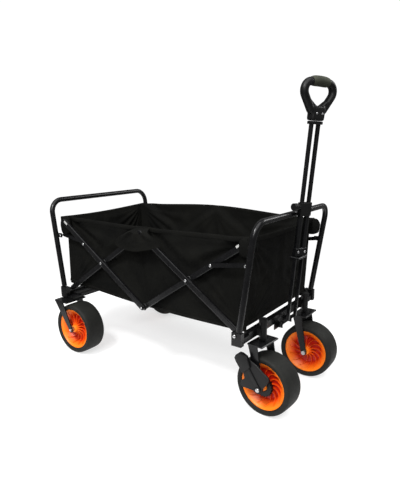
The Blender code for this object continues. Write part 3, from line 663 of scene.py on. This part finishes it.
def linkage():
    """Long bars, links and spacers, which keep their CAD shapes, and their rivet heads."""
    bars = [f"{kind}_bar_{end}_{side}" for kind in ("hoop", "span") for end, _ in ENDS for side, _ in SIDES]
    dress(bars, STEEL)
    dress([f"link_{end}_{side}" for end, _ in ENDS for side, _ in SIDES], STEEL)
    dress([f"spacer_{spot}_{side}" for spot in ("rear", "front", "centre") for side, _ in SIDES], PLASTIC)
    link_x = CROSS_X + LINK_ON_BAR * math.cos(OPEN_ANGLE)
    link_z = CROSS_Z + LINK_ON_BAR * math.sin(OPEN_ANGLE)
    rivets("rear_span_bars_rivets", "rear_span_bars", BAR_RIVET_Y,
           (-CROSS_X, CROSS_Z), (0.0, PIVOT_Z), (-link_x, link_z))
    rivets("front_hoop_bars_rivets", "front_hoop_bars", BAR_RIVET_Y, (CROSS_X, CROSS_Z))
    rivets("front_link_rivets", "front_links", LINK_RIVET_Y, (link_x, link_z))
    rivets("front_foot_rivets", "front_frame", FOOT_RIVET_Y, (BAR_END_X, PIVOT_Z),
           radius=0.0054, height=0.0030)


def bar_ends():
    """Plastic caps and light grey strips on the upper ends of the long bars; the strips are painted
    highlights.
    """
    for end, e in ENDS:
        face = OUTER_FACE if end == "rear" else INNER_FACE
        turn = Matrix.Rotation(-e * OPEN_ANGLE, 4, "Y")
        caps = []
        highlight_strips = []
        for _, s in SIDES:
            cap = soft_box((0.0300, 0.0134, BAR_HEIGHT + 0.0022), 0.0030)
            spot = Matrix.Translation((e * (BAR_END_X - 0.0030), s * (face - 0.0058), TOP_Z - 0.0020))
            caps.append(placed(cap, spot @ turn))
            # Painted highlight: a light grey strip where the glossy end cap catches the light.
            strip = soft_box((0.0190, 0.0012, 0.0070), 0.0004, 1)
            spot = Matrix.Translation((e * (BAR_END_X - 0.0110), s * (face + 0.0014), TOP_Z + 0.0002))
            highlight_strips.append(placed(strip, spot @ turn))
        piece(f"{end}_bar_caps", merge(*caps), PLASTIC, f"{end}_span_bars", WAGON, ())
        piece(f"{end}_bar_highlights", merge(*highlight_strips), HIGHLIGHT_GREY, f"{end}_span_bars", WAGON, ())


def undercarriage():
    """Crossbars, forks and casters, which keep their CAD shapes, and the rear axle bolts."""
    dress(["rear_crossbar", "front_crossbar", "handle_bracket"], STEEL, 0.0012)
    end = FORK_OUTSIDE + 0.0036
    for side, _ in SIDES:
        dress([f"rear_fork_{side}", f"caster_fork_{side}"], STEEL, 0.0008)
        dress([f"caster_housing_{side}"], PLASTIC, 0.0012)
        dress([f"caster_axle_{side}"], BRIGHT, 0.0005)
        bolt = [(0.0044, FORK_OUTSIDE), (0.0050, FORK_OUTSIDE), (0.0048, end)]
        bolt = [(r, -y) for r, y in bolt[::-1]] + bolt
        piece(f"rear_axle_{side}_bolt", lathe(bolt, 28, closed=False), BRIGHT, "rear_frame",
              wheel_place(f"rear_{side}_roll"), (f"rear_axle_{side}",))


# ---------------------------------------------------------------- cloth
def cloth_panel(name, spot, across, up, body, stands_for=(), thickness=0.0016):
    """Cloth made from spot(u, v), with u along and v up, both 0 to 1."""
    bm = bmesh.new()
    rows = [[bm.verts.new(spot(i / across, j / up)) for i in range(across + 1)] for j in range(up + 1)]
    for low, high in zip(rows, rows[1:]):
        for i in range(across):
            bm.faces.new((low[i], low[i + 1], high[i + 1], high[i]))
    bmesh.ops.recalc_face_normals(bm, faces=bm.faces[:])
    bmesh.ops.solidify(bm, geom=bm.faces[:], thickness=thickness)
    return piece(name, bm, CLOTH, body, WAGON, stands_for, 80)


def crumple(point, scale, seed):
    """Folded noise: soft ridges, 0 to 1."""
    moved = point * scale + Vector((seed, seed * 0.37, -seed))
    total = 0.0
    gain = 0.5
    for _ in range(4):
        total += gain * (1.0 - abs(noise.noise(moved)) * 1.9)
        moved = moved * 2.07
        gain *= 0.5
    return total


def pull_lines(x, z, anchor, angle, width, reach, count):
    """Creases that fan out of a point where the cloth is held."""
    dx, dz = x - anchor[0], z - anchor[1]
    far = math.hypot(dx, dz)
    if far < 1e-6 or far > reach:
        return 0.0
    turn = (math.atan2(dz, dx) - angle + math.pi) % math.tau - math.pi
    if abs(turn) > width:
        return 0.0
    fade = math.sin(math.pi * min(1.0, far / reach)) * math.cos(turn / width * math.pi / 2)
    return fade * math.cos(turn / width * math.pi * count)


def creases(x, z, pulls, depth, reach):
    """Creases from every spot where the cloth is held."""
    return sum(depth * pull_lines(x, z, anchor, math.radians(angle), math.radians(width), reach, 5)
               for anchor, angle, width in pulls)


def bar_top(x):
    """Height of the upper edge of the crossed bars along a side: a W from end to end."""
    rise = math.tan(OPEN_ANGLE)
    edge = BAR_HEIGHT / 2 / math.cos(OPEN_ANGLE)
    return CROSS_Z + abs(abs(x) - CROSS_X) * rise + edge


def rim_height(x, s):
    """Height of the tub's rim along a side: the left one arches up in the middle, the right one sags."""
    middle = 0.5 - 0.5 * math.cos(math.tau * min(1.0, max(0.0, (x - RIM_FROM) / RIM_LENGTH)))
    ahead = max(0.0, x / (RIM_FROM + RIM_LENGTH))
    if s > 0:
        return RIM_Z + 0.0100 + 0.0165 * middle - 0.0020 * ahead ** 2
    return RIM_Z + 0.0030 - 0.0045 * middle + 0.0040 * ahead


def hem_height(x):
    """Height of the lower edge along a side: it sags, and hangs lower towards the front."""
    t = (x - HEM_FROM) / HEM_LENGTH
    return HEM_Z - 0.0210 * t - 0.0120 * math.sin(t * math.pi)


def side_spot(s):
    """Cloth of one long side, which leans out over the bars above their upper edges.

    Between its sewn edges it bulges softly (belly) and is creased (depth).
    """
    def spot(u, v):
        foot = WALL_FOOT["rear"] + u * (WALL_FOOT["front"] - WALL_FOOT["rear"])
        rim = WALL_RIM["rear"] + u * (WALL_RIM["front"] - WALL_RIM["rear"])
        x = foot + (rim - foot) * v ** 0.8
        z = hem_height(x) + (rim_height(x, s) - hem_height(x)) * v
        over = smooth((z - bar_top(x) - 0.0030) / 0.0420)
        corner = smooth((abs(x) - 0.300) / 0.100)
        away = math.sin(math.pi * v) * math.sin(math.pi * u) ** 0.4
        belly = 0.0040 * away * math.sin(u * math.tau * 1.5 + 0.6)
        depth = 0.0046 * (crumple(Vector((x, s * 0.3, z)), 6.0, 3.1 + s) - 0.55)
        depth += creases(x, z, SIDE_PULLS, 0.0024, 0.34)
        hold = between(v, 9) * between(u, 14)
        lean = over * (0.0120 + 0.0150 * corner)
        x += math.copysign(0.0040, x) * over * corner
        return Vector((x, s * (SIDE_Y - 0.0040 + lean + (belly + depth) * hold), z))
    return spot


def wall_spot(end, e):
    """Cloth of one end wall, with its upright wrinkles. Its rim reaches out to the gathered corners."""
    def spot(u, v):
        lean = smooth((v - 0.86) / 0.14)
        y = (WALL_Y + 0.0264 * lean) * (2 * u - 1)
        x = WALL_FOOT[end] + (WALL_RIM[end] + e * 0.0040 * lean - WALL_FOOT[end]) * v ** 0.8
        right, left = rim_height(WALL_RIM[end], -1), rim_height(WALL_RIM[end], 1)
        corner = right + (left - right) * smooth(u)
        z = FLOOR_Z + 0.0035 + (corner - FLOOR_Z - 0.0035) * v - 0.0060 * math.sin(math.pi * u) * v
        upright = math.sin(y * 64 + 2.4 * noise.noise(Vector((y * 7, v * 1.3, 4.0)))) * 0.0022
        upright *= 0.35 + 0.65 * math.sin(math.pi * min(1.0, v * 1.15)) ** 2
        depth = 0.0055 * (crumple(Vector((y * 1.5, z * 0.8, e)), 6.5, 8.3 + e) - 0.55)
        depth += creases(y, z, WALL_PULLS, 0.0028, 0.24)
        hold = between(v, 10) * between(u, 12)
        return Vector((x - e * 0.0012 + e * (upright + depth) * hold, y, z))
    return spot


def tape(name, route, wide, thick, body):
    """Binding tape folded over an edge, along a route."""
    bm = bmesh.new()
    rows = []
    sides = 8
    for i, point in enumerate(route):
        ahead = route[min(i + 1, len(route) - 1)] - route[max(i - 1, 0)]
        tangent = ahead.normalized()
        out = tangent.cross(Vector((0, 0, 1))).normalized()
        rise = out.cross(tangent).normalized()
        row = []
        for k in range(sides):
            angle = math.tau * (k + 0.5) / sides
            flat = math.copysign(abs(math.sin(angle)) ** 0.55, math.sin(angle)) * wide / 2
            row.append(bm.verts.new(point + out * math.cos(angle) * thick / 2 + rise * flat))
        rows.append(row)
    for row, other in zip(rows, rows[1:]):
        for k in range(sides):
            j = (k + 1) % sides
            bm.faces.new((row[k], row[j], other[j], other[k]))
    bm.faces.new(rows[0])
    bm.faces.new(rows[-1][::-1])
    bmesh.ops.recalc_face_normals(bm, faces=bm.faces[:])
    return piece(name, bm, BINDING, body, WAGON, (), 60)


def fold_up(obj):
    """Give a cloth piece its own copy of its mesh."""
    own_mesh(obj)


def border(spot, v, rise, steps):
    """Points along the upper or lower edge of a cloth, moved up by rise."""
    return [spot(i / steps, v) + Vector((0, 0, rise)) for i in range(steps + 1)]


def side_cloth(side, s):
    """Cloth of one long side, its rim and its hem."""
    spot = side_spot(s)
    panel = cloth_panel(f"side_cloth_{side}", spot, 260, 88, "rear_frame",
                        stands_for=(f"side_rear_{side}", f"side_front_{side}"))
    top = tape(f"side_rim_{side}", border(spot, 1.0, -0.0050, 120), 0.0150, 0.0044, "rear_frame")
    low = tape(f"side_hem_{side}", border(spot, 0.0, 0.0040, 120), 0.0110, 0.0038, "rear_frame")
    for cloth_piece in (panel, top, low):
        fold_up(cloth_piece)


def end_wall(end, e):
    """Cloth of one end wall, its rim and its hem."""
    spot = wall_spot(end, e)
    panel = cloth_panel(f"wall_cloth_{end}", spot, 150, 96, f"{end}_frame", stands_for=(f"wall_{end}",))
    top = tape(f"wall_rim_{end}", border(spot, 1.0, -0.0050, 70), 0.0150, 0.0046, f"{end}_frame")
    low = tape(f"wall_hem_{end}", border(spot, 0.0, 0.0045, 70), 0.0110, 0.0038, f"{end}_frame")


def floor_board(end, e):
    """Fabric-covered floor board, a little puffed over its core."""
    def spot(u, v):
        x = e * (BOARD_TIP + u * BOARD_LENGTH)
        y = (2 * v - 1) * BOARD_HALF_WIDTH
        puff = 0.0012 * (crumple(Vector((x, y, 0.0)), 9.0, 5.0 + e) - 0.5)
        return Vector((x, y, BOARD_Z + puff))
    board = cloth_panel(f"floor_cloth_{end}", spot, 90, 70, f"{end}_floor",
                        stands_for=(f"floor_board_{end}",), thickness=0.0046)


def floor_cloth():
    """Cloth floor under the two boards, turned up at the sides and the end walls."""
    length = WALL_FOOT["front"] - WALL_FOOT["rear"]

    def spot(u, v):
        x = WALL_FOOT["rear"] + u * length
        y = (2 * v - 1) * FLOOR_CLOTH_Y
        at_wall = smooth(1 - min(u, 1 - u) * length / 0.0180)
        at_side = smooth(1 - (FLOOR_CLOTH_Y - abs(y)) / 0.0120) * (1 - math.sin(math.pi * u))
        ripple = 0.0014 * (crumple(Vector((x, y, 0.0)), 7.0, 9.0) - 0.5)
        return Vector((x, y, FLOOR_CLOTH_Z + 0.0100 * max(at_wall, at_side) + ripple))
    under = cloth_panel("floor_sheet", spot, 160, 60, "rear_frame")
    fold_up(under)


def tub():
    """Sides, end walls and floor."""
    for side, s in SIDES:
        side_cloth(side, s)
    for end, e in ENDS:
        end_wall(end, e)
        floor_board(end, e)
    floor_cloth()


def corner_folds():
    """Gathered corners of the tub, where the rim wraps over the ends of the long bars."""
    for end, e in ENDS:
        x, z, size = CORNER_FOLDS[end]
        for side, s in SIDES:
            bm = bmesh.new()
            bmesh.ops.create_uvsphere(bm, u_segments=64, v_segments=40, radius=1.0)
            middle = Vector((x, s * CORNER_Y, z))
            for vert in bm.verts:
                way = vert.co.copy()
                full = Vector([math.copysign(abs(way[i]) ** 0.8 * size[i], way[i]) for i in range(3)])
                fold = 1.0 + 0.16 * (crumple(way + middle * 9, 1.6, 21.0 + e + s) - 0.6)
                vert.co = middle + full * fold
            made = piece(f"corner_fold_{end}_{side}", bm, CLOTH, f"{end}_frame", WAGON, (), 80)


def flap_spot(s):
    """Tent-like flap: gathered to a point at the rim over the top pivot, spread over both bars below.

    Its lower edge is an arc that rises at both ends, and its side edges turn in towards the cloth.
    """
    def spot(u, v):
        spread = smooth(v * 1.1) ** 0.7
        top_x = -0.030 + 0.050 * u
        low_x = -0.112 + 0.206 * u
        x = top_x + (low_x - top_x) * spread
        top = rim_height(x, s) + 0.0010
        low = 0.4270 + 0.0300 * max(0.0, (u - 0.38) / 0.62) ** 1.5
        low += 0.0140 * max(0.0, (0.30 - u) / 0.30) ** 2
        z = top + (low - top) * v
        out = 0.2225 + 0.0235 * smooth(v / 0.22) + 0.0035 * math.sin(math.pi * min(1.0, v * 1.2))
        ridge = 0.0050 * math.cos((u - 0.46) * math.tau * 2.6) * math.sin(math.pi * min(1.0, v * 1.4 + 0.15))
        depth = 0.0030 * (crumple(Vector((x, s, z)), 11.0, 12.0 + s) - 0.5)
        hold = between(u, 10)
        inward = 0.0085 * (1 - hold) * (1 - smooth(v * 1.6))
        return Vector((x, s * (out + (ridge + depth) * hold - inward), z))
    return spot


def flaps():
    """Flap over each top centre pivot, sewn to the rim."""
    for side, s in SIDES:
        flap = cloth_panel(f"flap_{side}", flap_spot(s), 90, 70, "rear_frame", thickness=0.0014)
        fold_up(flap)


# ---------------------------------------------------------------- handle
def grip_shell():
    """Moulded loop, webs and neck of the D-grip, melted into one skin."""
    half = GRIP_WIDTH / 2 - GRIP_TUBE - 0.0025
    low = GRIP_BOTTOM + 0.0230
    corner = 0.0240
    right = arc((half - corner, GRIP_TOP - corner - 0.0030), corner, -37, 78, 10)
    route = [(0.0150, low), (0.0250, low + 0.0070)] + right + [(0.0, GRIP_TOP + 0.0018)]
    route += [(-y, z) for y, z in right[::-1]] + [(-0.0250, low + 0.0070), (-0.0150, low)]
    loop = tube([Vector((0, y, z)) for y, z in route], 0.0118, 24, closed=True, flat=0.0128)
    webs = []
    for s in (-1, 1):
        ends = [Vector((0, 0, low + 0.0070)), Vector((0, s * 0.0400, low + 0.0340))]
        webs.append(tube(ends, 0.0108, 20, flat=0.0118))
    neck = soft_box((0.0290, 0.0500, 0.0420), 0.0080, 4)
    neck = placed(neck, Matrix.Translation((0, 0, GRIP_BOTTOM + 0.0215)))
    shell = merge(loop, neck, *webs)
    made = piece("grip_shell", shell, PLASTIC, "pull_rods", HANDLE, ("d_grip",))
    blend = made.modifiers.new("one_skin", "REMESH")
    blend.mode = "VOXEL"
    blend.voxel_size = 0.0013
    blend.use_smooth_shade = True
    ease = made.modifiers.new("ease", "SMOOTH")
    ease.iterations = 14
    ease.factor = 0.6


def grip_insert():
    """Soft pad over the grip's upper bar."""
    spine = [Vector((0, y, GRIP_TOP - 0.0006 - 1.5 * y * y)) for y in (i * 0.0042 for i in range(-9, 10))]
    swell = [math.sqrt(max(0.0, 1 - (i / 9.4) ** 4)) for i in range(-9, 10)]
    pad = tube(spine, [0.0060 + 0.0090 * k for k in swell], 28, flat=[0.0062 + 0.0094 * k for k in swell])
    insert = piece("grip_insert_skin", pad, SOFT, "pull_rods", HANDLE, ("grip_insert",), 60)


def grip_rivets():
    """Rivet heads on both faces of the grip's neck."""
    heads = []
    for s in (-1, 1):
        for face in (1, -1):
            turn = Matrix.Rotation(-math.pi / 2 * face, 4, "Z")
            spot = Matrix.Translation((face * 0.0143, s * 0.0110, GRIP_BOTTOM + 0.0210))
            heads.append(placed(dome(0.0032, 0.0016, 18), spot @ turn))
    piece("grip_rivets", merge(*heads), BRIGHT, "pull_rods", HANDLE, ())


def handle():
    """Yoke, outer tubes, clamp with its knob, and the sliding rods, which keep their CAD shapes."""
    dress(["handle_yoke", "handle_outer_tubes", "handle_rods"], STEEL, 0.0006)
    dress(["handle_clamp", "lock_button"], PLASTIC, 0.0008)
    turn = Matrix.Rotation(-math.pi / 2, 4, "Z")
    heads = []
    for s in (-1, 1):
        spot = Matrix.Translation((0.0098, s * ROD_SPACING / 2, YOKE_TOP + 0.0150))
        heads.append(placed(dome(0.0042, 0.0020, 18), spot @ turn))
    piece("handle_foot_rivets", merge(*heads), BRIGHT, "handle", HANDLE, ())
    grip_shell()
    grip_insert()
    grip_rivets()


# ---------------------------------------------------------------- surroundings
def room():
    """World that the camera sees white and that lights the wagon more softly."""
    world = bpy.data.worlds.new("studio")
    bpy.context.scene.world = world
    world.use_nodes = True
    tree = world.node_tree
    light = tree.nodes["Background"]
    light.inputs["Color"].default_value = (1.0, 1.0, 1.0, 1.0)
    light.inputs["Strength"].default_value = ROOM_LIGHT
    wall = tree.nodes.new("ShaderNodeBackground")
    wall.inputs["Color"].default_value = (1.0, 1.0, 1.0, 1.0)
    wall.inputs["Strength"].default_value = 1.05
    seen = tree.nodes.new("ShaderNodeLightPath")
    mix = tree.nodes.new("ShaderNodeMixShader")
    tree.links.new(seen.outputs["Is Camera Ray"], mix.inputs["Fac"])
    tree.links.new(light.outputs["Background"], mix.inputs[1])
    tree.links.new(wall.outputs["Background"], mix.inputs[2])
    tree.links.new(mix.outputs["Shader"], tree.nodes["World Output"].inputs["Surface"])


def studio_floor():
    """Pale round floor."""
    bm = bmesh.new()
    bmesh.ops.create_circle(bm, cap_ends=True, segments=96, radius=FLOOR_RADIUS)
    mesh = bpy.data.meshes.new("studio_floor")
    bm.to_mesh(mesh)
    bm.free()
    floor = bpy.data.objects.new("studio_floor", mesh)
    bpy.context.collection.objects.link(floor)
    shade = Shader("studio_floor", 0.9)
    shade.colour(shade.ramp(shade.grain(0.6, 2), (0.3, (0.40, 0.40, 0.40)), (0.7, (0.42, 0.42, 0.42))))
    shade.body.inputs["Emission Color"].default_value = (1.0, 1.0, 1.0, 1.0)
    shade.body.inputs["Emission Strength"].default_value = FLOOR_GLOW
    mesh.materials.append(shade.made)


def lamp(name, kind, spot, power, **values):
    """A light aimed at the wagon."""
    light = bpy.data.lights.new(name, kind)
    light.energy = power
    for key, value in values.items():
        setattr(light, key, value)
    made = bpy.data.objects.new(name, light)
    bpy.context.collection.objects.link(made)
    made.location = spot
    aim = Vector((0, 0, 0.35)) - Vector(spot)
    made.rotation_euler = aim.to_track_quat("-Z", "Y").to_euler()


def lights():
    """Soft studio light from above, from the near side and from behind."""
    lamp("sky", "SUN", (0.6, -0.8, 3.0), 3.1, angle=math.radians(70))
    lamp("key", "AREA", (1.2, -3.4, 2.6), 70, size=1.3)
    lamp("strip", "AREA", (0.0, -1.9, 2.55), 55, size=0.4)
    lamp("back", "AREA", (1.8, 2.8, 2.4), 40, size=1.4)


def camera():
    """Camera at the photograph's angle, worked out in the wagon's axes."""
    yaw, pitch, roll = math.radians(36.436), math.radians(12.691), math.radians(-0.465)
    ahead = Vector((-math.sin(yaw) * math.cos(pitch), math.cos(yaw) * math.cos(pitch), -math.sin(pitch)))
    right = ahead.cross(Vector((0, 0, 1))).normalized()
    up = right.cross(ahead)
    right, up = (right * math.cos(roll) + up * math.sin(roll), up * math.cos(roll) - right * math.sin(roll))
    turn = Matrix((right, up, -ahead)).transposed().to_4x4()
    lens = bpy.data.cameras.new("camera")
    lens.sensor_width = 36.0
    lens.lens = 32.866
    lens.shift_x, lens.shift_y = -0.0015, 0.0009
    lens.clip_start = 0.05
    made = bpy.data.objects.new("camera", lens)
    bpy.context.collection.objects.link(made)
    made.matrix_world = WAGON @ Matrix.Translation((1.0412, -1.3108, 0.7648)) @ turn
    bpy.context.scene.camera = made
    bpy.context.scene.view_settings.view_transform = "Standard"
    bpy.context.scene.view_settings.look = "None"


wheels()
brakes()
hoops()
linkage()
bar_ends()
undercarriage()
tub()
corner_folds()
flaps()
handle()
room()
studio_floor()
lights()
camera()
